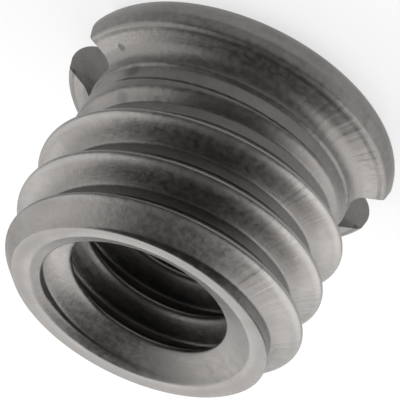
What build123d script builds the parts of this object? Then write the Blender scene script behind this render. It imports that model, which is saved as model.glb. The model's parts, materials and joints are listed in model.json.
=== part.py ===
from build123d import *
from build123d import SkipClean
import math
import os

# Thread adapter turned from one steel bar. Millimetres, +Z up.
# The part stands on its flange: z = 0 is the flange's outer face, the bore axis is Z,
# and the driver slot runs along X.

# Flange and body
total_length = 8.0
flange_radius = 5.2
flange_face_round = 0.78
flange_rim_height = 1.18
flange_rim_taper = 0.07
flange_edge_break = 0.06
underside_angle = 25
neck_radius = 4.25
neck_fillet = 0.6
undercut_radius = 4.19
undercut_start_height = 1.96
undercut_end_height = 2.48
undercut_side = 0.12
neck_end_height = 3.2
neck_shoulder = 0.2

# Outer thread, 3/8-16 UNC
outer_pitch = 25.4 / 16
outer_major_radius = 4.72
outer_depth = 0.87
outer_root_width = outer_pitch / 4.5
outer_crest_height = 6.76
runout_start_angle = 240
runout_sweep_angle = 130
runout_lift = 0.87

# Inner thread, 1/4-20 UNC
inner_pitch = 25.4 / 20
inner_minor_radius = 2.55
inner_depth = 0.76
inner_root_width = inner_pitch / 6
inner_groove_height = 6.95

# Small end
end_face_outer_radius = 4.08
end_chamfer_height = 0.82
countersink_radius = 3.54
countersink_depth = 0.45
flange_countersink_radius = 3.3
flange_countersink_depth = 0.5

# Driver slot
slot_width = 2.1
slot_depth = 1.86

# The round blank is revolved in equal sectors whose seam edges are kept. Every crest
# land is then a chain of short cylindrical faces, and no helical face wraps all the
# way round to meet itself.
sector_count = 12
sector_angle = 360 / sector_count
sector_start = 15

# How far the thread tools stand clear of the crests they cut through
tool_overreach = 0.08
flank_slope = math.tan(math.radians(30))


def blank_section():
    """Half section of the turned blank, in the XZ plane, from bore to outside."""
    slope = math.radians(underside_angle)
    rim_top = flange_rim_height - flange_edge_break
    rim_top_radius = flange_radius - flange_rim_taper
    rim_shoulder = rim_top_radius - flange_edge_break

    # The fillet touches the sloping underside and the neck.
    fillet_x = neck_radius + neck_fillet
    slope_height = flange_rim_height + (rim_shoulder - fillet_x) * math.tan(slope)
    fillet_z = slope_height + neck_fillet / math.cos(slope)
    fillet_start_x = fillet_x - neck_fillet * math.sin(slope)
    fillet_start_z = fillet_z - neck_fillet * math.cos(slope)
    half_turn = (math.pi / 2 + slope) / 2
    fillet_middle = Vector(
        fillet_x - neck_fillet * math.sin(half_turn),
        0,
        fillet_z - neck_fillet * math.cos(half_turn),
    )

    # The outer face is rounded over into the rim by a quarter circle.
    face_edge = flange_radius - flange_face_round
    rim_round_middle = Vector(
        face_edge + flange_face_round * math.sqrt(0.5),
        0,
        flange_face_round * (1 - math.sqrt(0.5)),
    )

    points = [
        (flange_countersink_radius, 0),
        (face_edge, 0),
        (flange_radius, flange_face_round),
        (rim_top_radius, rim_top),
        (rim_shoulder, flange_rim_height),
        (fillet_start_x, fillet_start_z),
        (neck_radius, fillet_z),
        (undercut_radius, undercut_start_height + undercut_side),
        (undercut_radius, undercut_end_height),
        (neck_radius, undercut_end_height + undercut_side),
        (neck_radius, neck_end_height),
        (outer_major_radius, neck_end_height + neck_shoulder),
        (outer_major_radius, total_length - end_chamfer_height),
        (end_face_outer_radius, total_length),
        (countersink_radius, total_length),
        (inner_minor_radius, total_length - countersink_depth),
        (inner_minor_radius, flange_countersink_depth),
    ]
    corners = [Vector(x, 0, z) for x, z in points]
    arc_middles = {1: rim_round_middle, 5: fillet_middle}
    edges = []
    for index, start in enumerate(corners):
        end = corners[(index + 1) % len(corners)]
        if index in arc_middles:
            edges.append(Edge.make_three_point_arc(start, arc_middles[index], end))
        else:
            edges.append(Edge.make_line(start, end))
    return Face(Wire(edges))


def turned_blank():
    """The blank as equal sectors joined without merging their seams."""
    section = blank_section()
    sectors = []
    for index in range(sector_count):
        sector = Solid.revolve(section, sector_angle, Axis.Z)
        sectors.append(sector.rotate(Axis.Z, sector_start + index * sector_angle))
    with SkipClean():
        return sectors[0].fuse(*sectors[1:])


def helical_tool(corners, pitch, height, cone_angle=0):
    """Solid swept by a four-cornered section that climbs a right-hand helix."""
    slant_pitch = pitch / math.cos(math.radians(cone_angle))
    paths = []
    for radius, lift in corners:
        path = Edge.make_helix(slant_pitch, height, radius, center=(0, 0, lift), angle=cone_angle)
        paths.append(path)
    faces = []
    for index, path in enumerate(paths):
        faces.append(Face.make_surface_from_curves(path, paths[(index + 1) % len(paths)]))
    for end in (0, 1):
        faces.append(Face(Wire.make_polygon([path @ end for path in paths], close=True)))
    return Solid(Shell(faces))


def outer_groove_corners():
    """Section of the outer groove: root flat inside, open mouth outside."""
    root_radius = outer_major_radius - outer_depth
    mouth_radius = outer_major_radius + tool_overreach
    root_half = outer_root_width / 2
    mouth_half = root_half + (mouth_radius - root_radius) * flank_slope
    return [
        (root_radius, -root_half),
        (mouth_radius, -mouth_half),
        (mouth_radius, mouth_half),
        (root_radius, root_half),
    ]


def outer_groove_height(angle):
    """Height of the groove centre on its last turn before the flange."""
    turns_below_crest = 3.5
    return outer_crest_height + outer_pitch * (angle / 360 - turns_below_crest)


def helical_turns(corners, pitch, start_angle, start_height, end_height):
    """One-turn tools stacked end to end between two heights."""
    turn_count = math.ceil((end_height - start_height) / pitch)
    tool = helical_tool(corners, pitch, pitch).rotate(Axis.Z, start_angle)
    turns = []
    for index in range(turn_count):
        turns.append(tool.translate((0, 0, start_height + index * pitch)))
    return turns


def outer_thread_tools():
    """Main groove, from the start of the run-out up past the small end."""
    start = outer_groove_height(runout_start_angle)
    end = total_length + outer_pitch
    return helical_turns(outer_groove_corners(), outer_pitch, runout_start_angle, start, end)


def outer_runout_tool():
    """The cutter backing out of the neck: the groove lifts as it nears the flange."""
    start = outer_groove_height(runout_start_angle)
    height = outer_pitch * runout_sweep_angle / 360
    cone_angle = math.degrees(math.atan2(runout_lift, height))
    tool = helical_tool(outer_groove_corners(), outer_pitch, height, cone_angle)
    tool = tool.rotate(Axis.X, 180)
    return tool.rotate(Axis.Z, runout_start_angle).translate((0, 0, start))


def inner_thread_tools():
    """Inner groove, through the whole bore."""
    root_radius = inner_minor_radius + inner_depth
    mouth_radius = inner_minor_radius - tool_overreach
    root_half = inner_root_width / 2
    mouth_half = root_half + (root_radius - mouth_radius) * flank_slope
    corners = [
        (root_radius, -root_half),
        (mouth_radius, -mouth_half),
        (mouth_radius, mouth_half),
        (root_radius, root_half),
    ]
    turns_down = math.ceil(inner_groove_height / inner_pitch) + 1
    start = inner_groove_height - turns_down * inner_pitch
    end = total_length + inner_pitch
    return helical_turns(corners, inner_pitch, 0, start, end)


def slot_tool():
    """Driver slot, straight across the flange along X."""
    clearance = 1
    length = 2 * (flange_radius + clearance)
    box = Solid.make_box(length, slot_width, slot_depth + clearance)
    return box.translate((-length / 2, -slot_width / 2, -clearance))


def thread_adapter():
    """The finished part: blank, both threads and the slot."""
    part = turned_blank()
    with SkipClean():
        part = part.cut(*outer_thread_tools())
        part = part.cut(outer_runout_tool())
        part = part.cut(*inner_thread_tools())
        part = part.cut(slot_tool())
    return part


os.makedirs("parts", exist_ok=True)
adapter = thread_adapter()
export_step(adapter, "parts/adapter.step")
print("volume", round(adapter.volume, 3), "box", adapter.bounding_box().size)
print("solids", len(adapter.solids()), "faces", len(adapter.faces()), "valid", adapter.is_valid)
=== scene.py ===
import json
import math
import bmesh
import bpy
import numpy as np
from mathutils import Matrix, Vector

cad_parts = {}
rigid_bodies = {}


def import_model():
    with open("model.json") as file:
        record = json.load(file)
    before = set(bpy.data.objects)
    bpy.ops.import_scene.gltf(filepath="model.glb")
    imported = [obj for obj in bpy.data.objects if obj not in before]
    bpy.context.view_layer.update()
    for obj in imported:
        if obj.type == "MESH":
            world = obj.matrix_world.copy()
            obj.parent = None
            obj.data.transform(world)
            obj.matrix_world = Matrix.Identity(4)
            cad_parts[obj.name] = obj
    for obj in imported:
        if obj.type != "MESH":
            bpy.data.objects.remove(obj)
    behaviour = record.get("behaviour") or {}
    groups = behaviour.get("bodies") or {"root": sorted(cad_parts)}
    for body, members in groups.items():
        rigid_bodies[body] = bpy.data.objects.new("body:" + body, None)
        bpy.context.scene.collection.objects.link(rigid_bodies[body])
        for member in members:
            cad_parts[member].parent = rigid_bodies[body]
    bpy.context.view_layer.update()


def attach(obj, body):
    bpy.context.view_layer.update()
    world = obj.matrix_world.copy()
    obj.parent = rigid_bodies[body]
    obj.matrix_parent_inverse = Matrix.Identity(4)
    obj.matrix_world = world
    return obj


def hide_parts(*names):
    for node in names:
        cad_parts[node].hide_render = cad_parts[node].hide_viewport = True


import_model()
mm = 0.001
fullTurn = 2 * math.pi


def clearScene():
    # the start-up file's own cube, lamp and camera are not wanted
    for thing in list(bpy.data.objects):
        if thing.name in ("Cube", "Light", "Camera"):
            bpy.data.objects.remove(thing)


# how finely the mesh is divided; steps are in mm along the outline
meshDetail = {
    "columns": 228,               # round the axis
    "threadStep": 0.036,
    "boreStep": 0.05,
    "plainStep": 0.10,
    "faceStep": 0.2,
    "rimStartStep": 0.03,
    "rimStep": 0.07,
    "undercutStep": 0.05,
    "ringStep": 0.07,
    "countersinkStep": 0.0432,
    "roundStep": 0.05,
    "roundSpokes": (3, 14),       # fewest and most steps round one corner
}


def roundedOutline(corners):
    # corners hold radius, height, rounding, and the step along the run that follows
    count = len(corners)
    places = [np.array(c[:2]) for c in corners]
    starts, ends, centres, turns = [], [], [], []
    for i, here in enumerate(places):
        inward = places[i - 1] - here
        onward = places[(i + 1) % count] - here
        inward = inward / np.linalg.norm(inward)
        onward = onward / np.linalg.norm(onward)
        half = math.acos(np.clip(inward @ onward, -1, 1)) / 2
        rounding = corners[i][2]
        reach = rounding / math.tan(half)
        bisector = (inward + onward) / np.linalg.norm(inward + onward)
        starts.append(here + inward * reach)
        ends.append(here + onward * reach)
        centres.append(here + bisector * rounding / math.sin(half))
        turns.append(math.pi - 2 * half)

    points = []
    fewest, most = meshDetail["roundSpokes"]
    for i, (_, _, rounding, step) in enumerate(corners):
        turn = turns[i]
        spokes = min(most, max(fewest, math.ceil(turn * rounding / meshDetail["roundStep"])))
        for k in range(spokes + 1):
            t = k / spokes
            spoke = (starts[i] - centres[i]) * math.sin((1 - t) * turn)
            spoke = spoke + (ends[i] - centres[i]) * math.sin(t * turn)
            points.append(centres[i] + spoke / math.sin(turn))
        run = starts[(i + 1) % count] - ends[i]
        parts = max(1, round(np.linalg.norm(run) / step))
        for k in range(1, parts):
            points.append(ends[i] + run * k / parts)
    return np.array(points)


# the turned body before its threads and slot are cut, in mm from the axis and the flange's outer face
blank = {
    "length": 8.0,
    "flangeRadius": 5.2,
    "faceRound": 0.78,
    "rimStart": 0.03,             # the rim's taper starts this far above the rounding
    "rimStartRound": 0.1,
    "rimHeight": 1.18,
    "rimTaper": 0.07,
    "rimEdgeRound": 0.14,
    "undersideAngle": 25,
    "neckRadius": 4.25,
    "neckFillet": 0.6,
    "undercutRadius": 4.19,
    "undercutStart": 1.96,
    "undercutEnd": 2.48,
    "undercutSide": 0.12,
    "undercutRound": 0.1,
    "neckEnd": 3.2,
    "neckEndRound": 0.04,
    "shoulder": 0.2,
    "shoulderRound": 0.06,
    "majorRadius": 4.76,          # rounding the crests brings them down to about 4.72
    "chamferHeight": 0.82,
    "chamferRound": 0.12,
    "endRingRadius": 4.08,
    "endRingRound": 0.08,
    "countersinkRadius": 3.54,
    "countersinkDepth": 0.45,
    "countersinkRound": 0.06,
    "boreRadius": 2.55,
    "boreEdgeRound": 0.08,
    "backCountersinkRadius": 3.3,
    "backCountersinkDepth": 0.5,
    "backCountersinkRound": 0.06,
    "backBoreEdgeRound": 0.05,
}


def blankOutline():
    b = blank
    step = meshDetail
    fine = step["threadStep"]
    undersideReach = b["flangeRadius"] - b["rimTaper"] - b["neckRadius"]
    undersideRise = undersideReach * math.tan(math.radians(b["undersideAngle"]))
    groove = b["undercutRound"]
    corners = [
        (b["backCountersinkRadius"], 0, b["backCountersinkRound"], step["faceStep"]),
        (b["flangeRadius"], 0, b["faceRound"], step["rimStartStep"]),
        (b["flangeRadius"], b["faceRound"] + b["rimStart"], b["rimStartRound"], step["rimStep"]),
        (b["flangeRadius"] - b["rimTaper"], b["rimHeight"], b["rimEdgeRound"], step["rimStep"]),
        (b["neckRadius"], b["rimHeight"] + undersideRise, b["neckFillet"], fine),
        (b["neckRadius"], b["undercutStart"], groove, step["undercutStep"]),
        (b["undercutRadius"], b["undercutStart"] + b["undercutSide"], groove, fine),
        (b["undercutRadius"], b["undercutEnd"], groove, step["undercutStep"]),
        (b["neckRadius"], b["undercutEnd"] + b["undercutSide"], groove, fine),
        (b["neckRadius"], b["neckEnd"], b["neckEndRound"], fine),
        (b["majorRadius"], b["neckEnd"] + b["shoulder"], b["shoulderRound"], fine),
        (b["majorRadius"], b["length"] - b["chamferHeight"], b["chamferRound"], fine),
        (b["endRingRadius"], b["length"], b["endRingRound"], step["ringStep"]),
        (b["countersinkRadius"], b["length"], b["countersinkRound"], step["countersinkStep"]),
        (b["boreRadius"], b["length"] - b["countersinkDepth"], b["boreEdgeRound"], step["boreStep"]),
        (b["boreRadius"], b["backCountersinkDepth"], b["backBoreEdgeRound"], step["plainStep"]),
    ]
    return roundedOutline(corners)


def softMin(a, b, width):
    # the lower of two surfaces, with the edge where they meet rounded over
    h = np.clip(0.5 + 0.5 * (b - a) / width, 0, 1)
    return b * (1 - h) + a * h - width * h * (1 - h)


def softMax(a, b, width):
    return -softMin(-a, -b, width)


def flankSlope():
    # how far a flank moves out for each mm along the axis
    flankAngle = 30               # half of the 60 degrees between two flanks
    return 1 / math.tan(math.radians(flankAngle))


# 3/8-16, right-hand; lengths in mm, angles in degrees
outerThread = {
    "pitch": 25.4 / 16,
    "depth": 0.91,
    "rootFlat": 0.35,
    "crestHeight": 6.76,          # height of a crest at angle zero
    "turnsDown": 3.5,             # from that crest to the groove's last turn, at angle zero
    "turns": range(-1, 7),        # counted up from that last turn
    "edgeRound": 0.3,
    "rootRound": 0.46,
    "runoutAngle": 240,           # below this angle the last turn of the groove lifts
    "runoutSweep": 130,
    "runoutLift": 0.87,
    "runoutCurve": 1.3,
    "runoutClearing": 8,          # how fast it moves away once it is past the sweep
    "clearOfRim": 0.1,            # no groove is cut lower than this above the rim
}


def outerGrooveLimit(angle, z):
    # radius that the outer groove leaves at each angle and height
    t = outerThread
    root = blank["majorRadius"] - t["depth"]
    start = math.radians(t["runoutAngle"])
    sweep = math.radians(t["runoutSweep"])
    farOut = 99.0                 # well beyond the body, so nothing is cut until a turn comes near
    limit = np.full(np.broadcast(angle, z).shape, farOut)
    for turn in t["turns"]:
        total = angle + fullTurn * turn
        centre = t["crestHeight"] + t["pitch"] * (total / fullTurn - t["turnsDown"])
        away = np.abs(z - centre)
        wall = root + np.maximum(away - t["rootFlat"] / 2, 0) * flankSlope()
        wall = softMax(wall, root + 0 * away, t["rootRound"])
        lift = np.clip((start - total) / sweep, 0, None)
        clearing = 1 + t["runoutClearing"] * np.maximum(lift - 1, 0)
        wall = wall + t["runoutLift"] * lift ** t["runoutCurve"] * clearing
        limit = softMin(limit, wall, t["edgeRound"])
    return limit


# 1/4-20, right-hand, in mm
innerThread = {
    "pitch": 25.4 / 20,
    "depth": 0.76,
    "rootFlat": 0.21,
    "grooveHeight": 6.95,         # height of a groove's middle at angle zero
    "edgeRound": 0.16,
    "rootRound": 0.18,
}


def innerGrooveLimit(angle, z):
    t = innerThread
    pitch = t["pitch"]
    root = blank["boreRadius"] + t["depth"]
    phase = z - t["grooveHeight"] - pitch * angle / fullTurn
    nearer = np.abs((phase + pitch / 2) % pitch - pitch / 2)
    walls = []
    for away in (nearer, pitch - nearer):
        wall = root - np.maximum(away - t["rootFlat"] / 2, 0) * flankSlope()
        walls.append(softMin(wall, root + 0 * away, t["rootRound"]))
    return softMax(*walls, t["edgeRound"])


def turnedMesh():
    # the outline goes round the axis in columns, and the threads move its points in or out
    outline = blankOutline()
    rows = outline.shape[0]
    columns = meshDetail["columns"]
    angle = (np.arange(columns) * fullTurn / columns)[:, None]
    radius = outline[:, 0][None, :]
    height = outline[:, 1][None, :]
    middle = (blank["boreRadius"] + blank["neckRadius"]) / 2
    outside = softMin(radius, outerGrooveLimit(angle, height), outerThread["edgeRound"])
    inside = softMax(radius, innerGrooveLimit(angle, height), innerThread["edgeRound"])
    aboveRim = height > blank["rimHeight"] + outerThread["clearOfRim"]
    shaped = np.where(radius > middle, np.where(aboveRim, outside, radius), inside)
    x = shaped * np.cos(angle) * mm
    y = shaped * np.sin(angle) * mm
    z = np.broadcast_to(height * mm, shaped.shape)
    verts = np.stack([x, y, z], -1).reshape(-1, 3)
    faces = []
    for i in range(columns):
        j = (i + 1) % columns
        for k in range(rows):
            n = (k + 1) % rows
            faces.append((i * rows + k, j * rows + k, j * rows + n, i * rows + n))
    mesh = bpy.data.meshes.new("adapterBody")
    mesh.from_pydata(verts.tolist(), [], faces)
    faceOutward(mesh)
    print("turned body:", rows, "rows,", columns, "columns,", len(faces), "faces")
    return mesh


def faceOutward(mesh):
    bm = bmesh.new()
    bm.from_mesh(mesh)
    bmesh.ops.recalc_face_normals(bm, faces=bm.faces)
    bm.to_mesh(mesh)
    bm.free()


# in mm, except the angle between two faces above which their edge is drawn sharp
slotCut = {
    "width": 2.1,
    "depth": 1.86,
    "toolLength": 14,
    "toolBelow": 2,               # how far the tool starts outside the flange's face
    "sharpAngle": 75,
}


def slotTool():
    # a block along X whose top is the slot's floor
    width = slotCut["width"] * mm
    depth = slotCut["depth"] * mm
    length = slotCut["toolLength"] * mm
    below = slotCut["toolBelow"] * mm
    place = Matrix.Translation((0, 0, (depth - below) / 2))
    size = Matrix.Diagonal((length, width, depth + below, 1))
    bm = bmesh.new()
    bmesh.ops.create_cube(bm, size=1)
    bm.transform(place @ size)
    mesh = bpy.data.meshes.new("slotTool")
    bm.to_mesh(mesh)
    bm.free()
    tool = bpy.data.objects.new("slotTool", mesh)
    bpy.context.scene.collection.objects.link(tool)
    return tool


def markSharp(mesh, degrees):
    # everything is shaded smooth but the edges that the slot leaves
    bm = bmesh.new()
    bm.from_mesh(mesh)
    limit = math.radians(degrees)
    for face in bm.faces:
        face.smooth = True
    for edge in bm.edges:
        if len(edge.link_faces) == 2 and edge.calc_face_angle(0) > limit:
            edge.smooth = False
    bm.to_mesh(mesh)
    bm.free()


def makeAdapter():
    body = bpy.data.objects.new("adapterBody", turnedMesh())
    bpy.context.scene.collection.objects.link(body)
    tool = slotTool()
    cut = body.modifiers.new("slot", "BOOLEAN")
    cut.object = tool
    cut.operation = "DIFFERENCE"
    cut.solver = "EXACT"
    graph = bpy.context.evaluated_depsgraph_get()
    finished = bpy.data.meshes.new_from_object(body.evaluated_get(graph))
    body.modifiers.clear()
    body.data = finished
    bpy.data.objects.remove(tool)
    markSharp(finished, slotCut["sharpAngle"])
    triangles = sum(len(p.vertices) - 2 for p in finished.polygons)
    print("slot cut,", triangles, "triangles")
    return body


# satin machined steel
steelLook = {
    "colour": (0.25, 0.239, 0.229),
    "darkColour": (0.18, 0.172, 0.165),
    "toneRange": (0.38, 0.62),            # how sharply the two colours part
    "toneShares": (0.45, 0.35, 0.2),      # of grain, patches and turned bands
    "crestColour": (0.44, 0.425, 0.41),
    "crestWear": 0.35,
    # painted shade: this dark colour is laid into the grooves, the bore, the countersink, the flange's
    # slope and a line inside the rim
    "paintedShadeColour": (0.075, 0.072, 0.068),
    "paintedGrooveShade": 0.18,
    "paintedBoreShade": 0.5,
    "paintedConeShade": 0.3,                     # painted shade on the flange's sloping side
    "paintedCountersinkShade": 0.62,
    "rimLine": 0.8,                       # a painted shadow line just inside the rim
    "thinnestPaintedShade": 0.55,                # the painted shade is patchy, and this much of it is always left
    "patchRange": (0.3, 0.65),
    "roughness": 0.44,
    "roughnessSpread": 0.14,
    "roughnessRange": (0.3, 0.7),
    "edgeSoftness": 0.05,                 # mm, only in the shading
    "edgeSamples": 6,
    # depths of the marks in mm
    "turningDepth": 0.004,
    "chatterDepth": 0.022,
    "grainDepth": 0.012,
    "pitDepth": 0.03,
    # tool marks: scale round the axis, outward and upward, and detail
    "turning": (1.5, 14000, 9000, 3),
    "bands": (1.2, 2600, 2200, 2),
    "chatter": (17, 260, 260, 2),
    # grain and patches: scale and detail
    "grain": (5200.0, 4.0),
    "patches": (620.0, 3.0),
    "leastChatter": 0.1,
    "leastGrain": 0.35,
    # dark spots: x, y, z and reach in mm, and how dark
    "spots": [
        (-4.12, 1.95, 1.50, 0.19, 0.85),
        (-3.44, 2.22, 3.17, 0.34, 0.45),
        (-2.50, 3.12, 3.27, 0.25, 0.35),
        (-3.40, 2.22, 2.12, 0.42, 0.60),
    ],
    "spotCore": 0.3,                      # share of the reach that is fully dark
}

# where each finish and each painted shade fades in or out, in mm: reach is from the axis, height is up
# from the flange's face
steelFade = {
    "crestReach": (4.5, 4.68),
    "crestHeight": (2.6, 3.4),
    "grooveReach": (3.9, 4.6),
    "grooveHeight": (2.2, 3.0),
    "outsideReach": (3.6, 3.8),
    "boreReach": (3.0, 3.4),
    "boreHeight": (6.2, 7.2),
    "rimLineOuter": (4.84, 4.94),
    "rimLineInner": (5.00, 5.05),
    "rimTop": (1.10, 1.16),
    "coneHeight": (1.9, 2.3),
    "countersinkReach": (3.45, 3.56),
    "countersinkHeight": (7.3, 7.5),
    "chatterX": (0.9, 2.6),
    "chatterReach": (3.7, 4.1),
    "grainX": (-2.6, -0.2),
}


def makeNode(tree, kind, x, y, **inputs):
    node = tree.nodes.new(kind)
    node.location = (x, y)
    for name, value in inputs.items():
        node.inputs[name.replace("_", " ")].default_value = value
    return node


def makeMath(tree, operation, first, second, x, y):
    # each of the two may be another node's output or a plain number
    node = makeNode(tree, "ShaderNodeMath", x, y)
    node.operation = operation
    for socket, value in zip(node.inputs, (first, second)):
        if isinstance(value, (int, float)):
            socket.default_value = value
        else:
            tree.links.new(value, socket)
    return node.outputs[0]


def makeRange(tree, value, span, x, y, toLow=0.0, toHigh=1.0):
    node = makeNode(tree, "ShaderNodeMapRange", x, y)
    node.interpolation_type = "SMOOTHSTEP"
    node.inputs["From Min"].default_value = span[0]
    node.inputs["From Max"].default_value = span[1]
    node.inputs["To Min"].default_value = toLow
    node.inputs["To Max"].default_value = toHigh
    tree.links.new(value, node.inputs["Value"])
    return node.outputs["Result"]


def makeFade(tree, place, span, x, y, toLow=0.0, toHigh=1.0):
    # the same between two places given in mm
    start, end = span
    return makeRange(tree, place, (start * mm, end * mm), x, y, toLow, toHigh)


def makeMix(tree, factor, first, second, x, y):
    node = makeNode(tree, "ShaderNodeMix", x, y)
    node.data_type = "RGBA"
    tree.links.new(factor, node.inputs["Factor"])
    for name, value in (("A", first), ("B", second)):
        socket = next(i for i in node.inputs if i.name == name and i.type == "RGBA")
        if isinstance(value, tuple):
            socket.default_value = (*value, 1)
        else:
            tree.links.new(value, socket)
    return next(o for o in node.outputs if o.type == "RGBA")


def makeCoordinates(tree):
    # object position, the direction round the axis and the distance from it
    place = makeNode(tree, "ShaderNodeTexCoord", -2200, 0).outputs["Object"]
    split = makeNode(tree, "ShaderNodeSeparateXYZ", -2000, 0)
    tree.links.new(place, split.inputs[0])
    flat = makeNode(tree, "ShaderNodeCombineXYZ", -1800, -200)
    tree.links.new(split.outputs["X"], flat.inputs["X"])
    tree.links.new(split.outputs["Y"], flat.inputs["Y"])
    around = makeNode(tree, "ShaderNodeVectorMath", -1600, -200)
    around.operation = "NORMALIZE"
    tree.links.new(flat.outputs[0], around.inputs[0])
    reach = makeNode(tree, "ShaderNodeVectorMath", -1600, -400)
    reach.operation = "LENGTH"
    tree.links.new(flat.outputs[0], reach.inputs[0])
    aroundSplit = makeNode(tree, "ShaderNodeSeparateXYZ", -1400, -200)
    tree.links.new(around.outputs[0], aroundSplit.inputs[0])
    return {
        "place": place,
        "x": split.outputs["X"],
        "height": split.outputs["Z"],
        "aroundX": aroundSplit.outputs["X"],
        "aroundY": aroundSplit.outputs["Y"],
        "reach": reach.outputs["Value"],
    }


def turnedNoise(tree, at, settings, y):
    # noise stretched round the axis for tool marks, or across it for chatter
    aroundScale, radiusScale, heightScale, detail = settings
    joined = makeNode(tree, "ShaderNodeCombineXYZ", -900, y)
    acrossX = makeMath(tree, "MULTIPLY", at["aroundX"], aroundScale, -1150, y)
    acrossY = makeMath(tree, "MULTIPLY", at["aroundY"], aroundScale, -1150, y - 60)
    outward = makeMath(tree, "MULTIPLY", at["reach"], radiusScale, -1150, y - 120)
    upward = makeMath(tree, "MULTIPLY", at["height"], heightScale, -1150, y - 180)
    tree.links.new(acrossX, joined.inputs["X"])
    tree.links.new(acrossY, joined.inputs["Y"])
    tree.links.new(makeMath(tree, "ADD", outward, upward, -1000, y - 150), joined.inputs["Z"])
    noise = makeNode(tree, "ShaderNodeTexNoise", -700, y, Scale=1.0, Detail=detail, Roughness=0.55)
    tree.links.new(joined.outputs[0], noise.inputs["Vector"])
    return noise.outputs["Fac"]


def plainNoise(tree, at, settings, y):
    scale, detail = settings
    noise = makeNode(tree, "ShaderNodeTexNoise", -700, y, Scale=scale, Detail=detail, Roughness=0.6)
    tree.links.new(at["place"], noise.inputs["Vector"])
    return noise.outputs["Fac"]


def spotMask(tree, at):
    # one soft round spot for each entry, and the strongest spot wins
    total = None
    for index, (x, y, z, reach, dark) in enumerate(steelLook["spots"]):
        row = 2700 + 180 * index
        away = makeNode(tree, "ShaderNodeVectorMath", -1200, row)
        away.operation = "DISTANCE"
        away.inputs[1].default_value = (x * mm, y * mm, z * mm)
        tree.links.new(at["place"], away.inputs[0])
        span = (steelLook["spotCore"] * reach, reach)
        spot = makeFade(tree, away.outputs["Value"], span, -1000, row, dark, 0.0)
        total = makeMath(tree, "MAXIMUM", total, spot, -800, row) if total else spot
    return total


def cleanMetal(tree, at, grain, patches, bands):
    # two tones in small mottles
    parts = []
    for index, (noise, share) in enumerate(zip((grain, patches, bands), steelLook["toneShares"])):
        parts.append(makeMath(tree, "MULTIPLY", noise, share, -450, 250 - 60 * index))
    mixed = makeMath(tree, "ADD", parts[0], parts[1], -300, 250)
    mixed = makeMath(tree, "ADD", mixed, parts[2], -200, 200)
    tone = makeRange(tree, mixed, steelLook["toneRange"], -50, 200)
    metal = makeMix(tree, tone, steelLook["darkColour"], steelLook["colour"], 150, 250)

    # the crests are rubbed brighter
    crest = makeFade(tree, at["reach"], steelFade["crestReach"], -450, 1900, 0.0, steelLook["crestWear"])
    threaded = makeFade(tree, at["height"], steelFade["crestHeight"], -450, 1750)
    crest = makeMath(tree, "MULTIPLY", crest, threaded, -250, 1850)
    return makeMix(tree, crest, metal, steelLook["crestColour"], 300, 350)


# painted shade in the outer thread's grooves
def paintedGrooveShade(tree, at):
    amount = steelLook["paintedGrooveShade"]
    groove = makeFade(tree, at["reach"], steelFade["grooveReach"], -450, 700, amount, 0.0)
    outside = makeFade(tree, at["reach"], steelFade["outsideReach"], -450, 560)
    body = makeFade(tree, at["height"], steelFade["grooveHeight"], -450, 430)
    groove = makeMath(tree, "MULTIPLY", groove, outside, -250, 650)
    return makeMath(tree, "MULTIPLY", groove, body, -150, 600)


# painted shade deep in the bore
def paintedBoreShade(tree, at):
    amount = steelLook["paintedBoreShade"]
    bore = makeFade(tree, at["reach"], steelFade["boreReach"], -450, 1000, amount, 0.0)
    deep = makeFade(tree, at["height"], steelFade["boreHeight"], -450, 860, 1.0, 0.0)
    return makeMath(tree, "MULTIPLY", bore, deep, -250, 950)


def paintedFlangeShade(tree, at):
    # painted shade: a thin shadow line inside the rim, and shade on the slope above it
    aboveRim = makeFade(tree, at["height"], steelFade["rimTop"], -450, 1450)
    outer = makeFade(tree, at["reach"], steelFade["rimLineOuter"], -450, 1300, 0.0, steelLook["rimLine"])
    inner = makeFade(tree, at["reach"], steelFade["rimLineInner"], -450, 1160, 1.0, 0.0)
    line = makeMath(tree, "MULTIPLY", outer, inner, -250, 1250)
    line = makeMath(tree, "MULTIPLY", line, aboveRim, -100, 1250)
    cone = makeFade(tree, at["height"], steelFade["coneHeight"], -450, 1600, steelLook["paintedConeShade"], 0.0)
    cone = makeMath(tree, "MULTIPLY", cone, aboveRim, -250, 1600)
    return makeMath(tree, "MAXIMUM", line, cone, -50, 1400)


# painted shade in the countersink
def paintedCountersinkShade(tree, at):
    amount = steelLook["paintedCountersinkShade"]
    sunk = makeFade(tree, at["reach"], steelFade["countersinkReach"], -450, 2200, amount, 0.0)
    nearEnd = makeFade(tree, at["height"], steelFade["countersinkHeight"], -450, 2050)
    return makeMath(tree, "MULTIPLY", sunk, nearEnd, -250, 2150)


# all the painted shade together, made patchy
def paintedShadeMask(tree, at, patches):
    darkening = makeMath(tree, "MAXIMUM", paintedGrooveShade(tree, at), paintedBoreShade(tree, at), -50, 700)
    edges = makeMath(tree, "MAXIMUM", paintedFlangeShade(tree, at), paintedCountersinkShade(tree, at), 0, 1500)
    darkening = makeMath(tree, "MAXIMUM", darkening, edges, 20, 800)
    least = steelLook["thinnestPaintedShade"]
    uneven = makeRange(tree, patches, steelLook["patchRange"], -250, 450, least, 1.0)
    return makeMath(tree, "MULTIPLY", darkening, uneven, 100, 700)


def markLayers(tree, at, turning, chatter, grain, spots):
    # chatter shows on one side of the thread, a pebbly grain on the other
    look = steelLook
    chatterSide = makeFade(tree, at["x"], steelFade["chatterX"], -900, 500, look["leastChatter"], 1.0)
    chatterRing = makeFade(tree, at["reach"], steelFade["chatterReach"], -900, 620)
    chatterSide = makeMath(tree, "MULTIPLY", chatterSide, chatterRing, -700, 560)
    grainSide = makeFade(tree, at["x"], steelFade["grainX"], -900, 350, 1.0, look["leastGrain"])
    return (
        (turning, look["turningDepth"]),
        (makeMath(tree, "MULTIPLY", chatter, chatterSide, -450, -600), look["chatterDepth"]),
        (makeMath(tree, "MULTIPLY", grain, grainSide, -450, -900), look["grainDepth"]),
        (makeMath(tree, "SUBTRACT", 1.0, spots, 0, -1100), look["pitDepth"]),
    )


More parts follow.
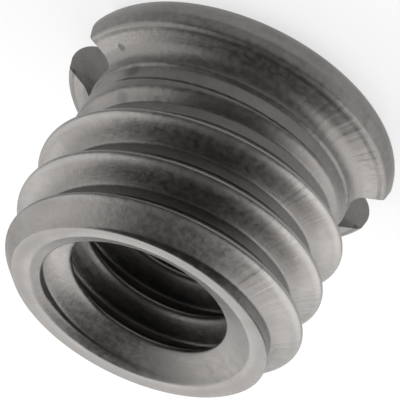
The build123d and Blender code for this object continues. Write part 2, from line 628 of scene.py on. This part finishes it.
def surfaceNormal(tree, layers):
    # softened edges first, then one bump for each layer of marks
    worn = makeNode(tree, "ShaderNodeBevel", 0, -300)
    worn.samples = steelLook["edgeSamples"]
    worn.inputs["Radius"].default_value = steelLook["edgeSoftness"] * mm
    normal = worn.outputs["Normal"]
    for index, (height, depth) in enumerate(layers):
        bump = makeNode(tree, "ShaderNodeBump", 200 + 160 * index, -500)
        bump.inputs["Strength"].default_value = 1.0
        bump.inputs["Distance"].default_value = depth * mm
        tree.links.new(height, bump.inputs["Height"])
        tree.links.new(normal, bump.inputs["Normal"])
        normal = bump.outputs["Normal"]
    return normal


def steelMaterial():
    look = steelLook
    material = bpy.data.materials.new("machinedSteel")
    material.use_nodes = True
    tree = material.node_tree
    shader = tree.nodes["Principled BSDF"]
    shader.location = (900, 0)
    tree.nodes["Material Output"].location = (1200, 0)
    shader.inputs["Metallic"].default_value = 1.0

    at = makeCoordinates(tree)
    turning = turnedNoise(tree, at, look["turning"], 0)
    bands = turnedNoise(tree, at, look["bands"], -300)
    chatter = turnedNoise(tree, at, look["chatter"], -600)
    grain = plainNoise(tree, at, look["grain"], -900)
    patches = plainNoise(tree, at, look["patches"], -1150)
    spots = spotMask(tree, at)

    metal = cleanMetal(tree, at, grain, patches, bands)
    # painted shade and the dark spots darken the base colour
    darkening = makeMath(tree, "MAXIMUM", paintedShadeMask(tree, at, patches), spots, 250, 700)
    colour = makeMix(tree, darkening, metal, look["paintedShadeColour"], 450, 300)
    tree.links.new(colour, shader.inputs["Base Color"])

    low = look["roughness"] - look["roughnessSpread"] / 2
    high = look["roughness"] + look["roughnessSpread"] / 2
    rough = makeRange(tree, grain, look["roughnessRange"], 450, 50, low, high)
    tree.links.new(rough, shader.inputs["Roughness"])

    layers = markLayers(tree, at, turning, chatter, grain, spots)
    tree.links.new(surfaceNormal(tree, layers), shader.inputs["Normal"])
    print("steel material made,", len(tree.nodes), "nodes")
    return material


# white paper; past its front and diagonal edges it turns into the dark room that the metal reflects
paper = {
    "size": 1.2,
    "colour": (0.93, 0.93, 0.93),
    "roughness": 0.9,
    "specular": 0.1,
    "roomColour": (0.05, 0.05, 0.05),
    "frontFade": (9.3, 12),               # along Y, from where the room starts to fully dark, mm
    "cornerFade": (4.9, 10.5),            # the same for the diagonal edge, along cornerSlope
    "cornerSlope": (-0.74, 0.672),
    "cornerDark": 0.65,                   # how far the diagonal edge goes towards roomColour
    "glowColour": (1.0, 1.0, 1.0),
    "glowShare": 0.72,                    # how much of what is seen is this glow
}


def paperShade(tree):
    # 0 on the paper and 1 in the room
    place = makeNode(tree, "ShaderNodeTexCoord", -1200, 0)
    split = makeNode(tree, "ShaderNodeSeparateXYZ", -1000, 0)
    tree.links.new(place.outputs["Object"], split.inputs[0])
    slopeX, slopeY = paper["cornerSlope"]
    acrossX = makeMath(tree, "MULTIPLY", split.outputs["X"], slopeX, -850, 100)
    acrossY = makeMath(tree, "MULTIPLY", split.outputs["Y"], slopeY, -850, 0)
    diagonal = makeMath(tree, "ADD", acrossX, acrossY, -700, 50)
    corner = makeFade(tree, diagonal, paper["cornerFade"], -550, 50, 0.0, paper["cornerDark"])
    front = makeFade(tree, split.outputs["Y"], paper["frontFade"], -550, -150)
    return makeMath(tree, "MAXIMUM", corner, front, -350, 0)


def glowAmount(tree):
    # the glow shows to the lens and in reflections, and lights nothing else
    light = makeNode(tree, "ShaderNodeLightPath", -600, 500)
    cameraRay, glossyRay, clearRay = (
        light.outputs[f"Is {kind} Ray"] for kind in ("Camera", "Glossy", "Transmission")
    )
    seen = makeMath(tree, "MAXIMUM", cameraRay, glossyRay, -400, 450)
    seen = makeMath(tree, "MAXIMUM", seen, clearRay, -250, 400)
    return makeMath(tree, "MULTIPLY", seen, paper["glowShare"], -100, 350)


def paperMaterial():
    material = bpy.data.materials.new("floorPaper")
    material.use_nodes = True
    tree = material.node_tree
    shader = tree.nodes["Principled BSDF"]
    shader.inputs["Roughness"].default_value = paper["roughness"]
    shader.inputs["Specular IOR Level"].default_value = paper["specular"]
    glow = makeNode(tree, "ShaderNodeEmission", 0, -400)
    blend = makeNode(tree, "ShaderNodeMixShader", 250, 0)
    dark = paperShade(tree)
    lit = makeMix(tree, dark, paper["colour"], paper["roomColour"], -200, 100)
    glowing = makeMix(tree, dark, paper["glowColour"], paper["roomColour"], -200, -300)
    tree.links.new(lit, shader.inputs["Base Color"])
    tree.links.new(glowing, glow.inputs["Color"])
    tree.links.new(glowAmount(tree), blend.inputs["Fac"])
    tree.links.new(shader.outputs[0], blend.inputs[1])
    tree.links.new(glow.outputs[0], blend.inputs[2])
    tree.links.new(blend.outputs[0], tree.nodes["Material Output"].inputs["Surface"])
    return material


def makeFloor():
    half = paper["size"] / 2
    corners = [(-half, -half, 0), (half, -half, 0), (half, half, 0), (-half, half, 0)]
    mesh = bpy.data.meshes.new("floor")
    mesh.from_pydata(corners, [], [(0, 1, 2, 3)])
    floor = bpy.data.objects.new("floor", mesh)
    bpy.context.scene.collection.objects.link(floor)
    mesh.materials.append(paperMaterial())
    print("floor laid,", paper["size"], "m across")


studio = {
    "worldColour": (0.16, 0.16, 0.16),
    "aimHeight": 3.5,             # the lamps point at the axis this high up, mm
    "lamps": [
        # name, azimuth, elevation, distance, width, height, power; degrees, metres and watts
        ("rightLamp", -8, 22, 0.30, 0.50, 0.40, 1.45),
        ("leftLamp", 202, 32, 0.30, 0.48, 0.40, 0.95),
        ("backLamp", 275, 32, 0.30, 0.40, 0.28, 0.80),
    ],
}


def makeWorld():
    world = bpy.data.worlds.new("studioWorld")
    bpy.context.scene.world = world
    world.use_nodes = True
    shade = world.node_tree.nodes["Background"]
    shade.inputs["Color"].default_value = (*studio["worldColour"], 1)
    shade.inputs["Strength"].default_value = 1.0
    print("world made")


def makeLamps():
    target = Vector((0, 0, studio["aimHeight"] * mm))
    for name, azimuth, elevation, distance, width, height, power in studio["lamps"]:
        a = math.radians(azimuth)
        e = math.radians(elevation)
        away = Vector((math.cos(a) * math.cos(e), math.sin(a) * math.cos(e), math.sin(e)))
        data = bpy.data.lights.new(name, "AREA")
        data.shape = "RECTANGLE"
        data.size = width
        data.size_y = height
        data.energy = power
        lamp = bpy.data.objects.new(name, data)
        lamp.location = target + away * distance
        lamp.rotation_euler = away.to_track_quat("Z", "Y").to_euler()
        bpy.context.scene.collection.objects.link(lamp)
    print(len(studio["lamps"]), "lamps placed")


# angles in degrees, distances in metres; the roll puts the flange at the top of the view
camera = {
    "distance": 0.18,
    "elevation": 30.52,
    "side": 5.4,                  # off the square view of the slot
    "roll": 26.16,
    "aimHeight": 4.15,            # mm up the axis
    "aimShift": (0.34145, 0.32660),       # from there, right and up in the view, mm
    "lens": 545.616,
    "sensor": 36,
    "clip": (0.01, 5),
}


def makeCamera():
    c = camera
    side = math.radians(c["side"])
    tilt = math.radians(90 - c["elevation"])
    roll = math.radians(c["roll"])
    across = Vector((math.cos(side), math.sin(side), 0))
    toward = Vector((-math.sin(side), math.cos(side), 0))
    up = Vector((0, 0, 1))
    view = toward * math.sin(tilt) + up * math.cos(tilt)
    along = up * math.sin(tilt) - toward * math.cos(tilt)
    right = across * math.cos(roll) - along * math.sin(roll)
    top = -(across * math.sin(roll) + along * math.cos(roll))
    shiftRight, shiftUp = c["aimShift"]
    aim = (up * c["aimHeight"] + right * shiftRight + top * shiftUp) * mm
    data = bpy.data.cameras.new("camera")
    data.sensor_width = c["sensor"]
    data.lens = c["lens"]
    data.clip_start, data.clip_end = c["clip"]
    eye = bpy.data.objects.new("camera", data)
    turn = Matrix((right, top, view)).transposed().to_4x4()
    turn.translation = aim + view * c["distance"]
    eye.matrix_world = turn
    bpy.context.scene.collection.objects.link(eye)
    bpy.context.scene.camera = eye
    print("camera at", [round(v, 4) for v in turn.translation], "lens", round(data.lens, 1))


clearScene()
adapter = makeAdapter()
adapter.data.materials.clear()
adapter.data.materials.append(steelMaterial())
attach(adapter, "root")
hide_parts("adapter")
makeFloor()
makeWorld()
makeLamps()
makeCamera()
bpy.context.scene.view_settings.view_transform = "Standard"
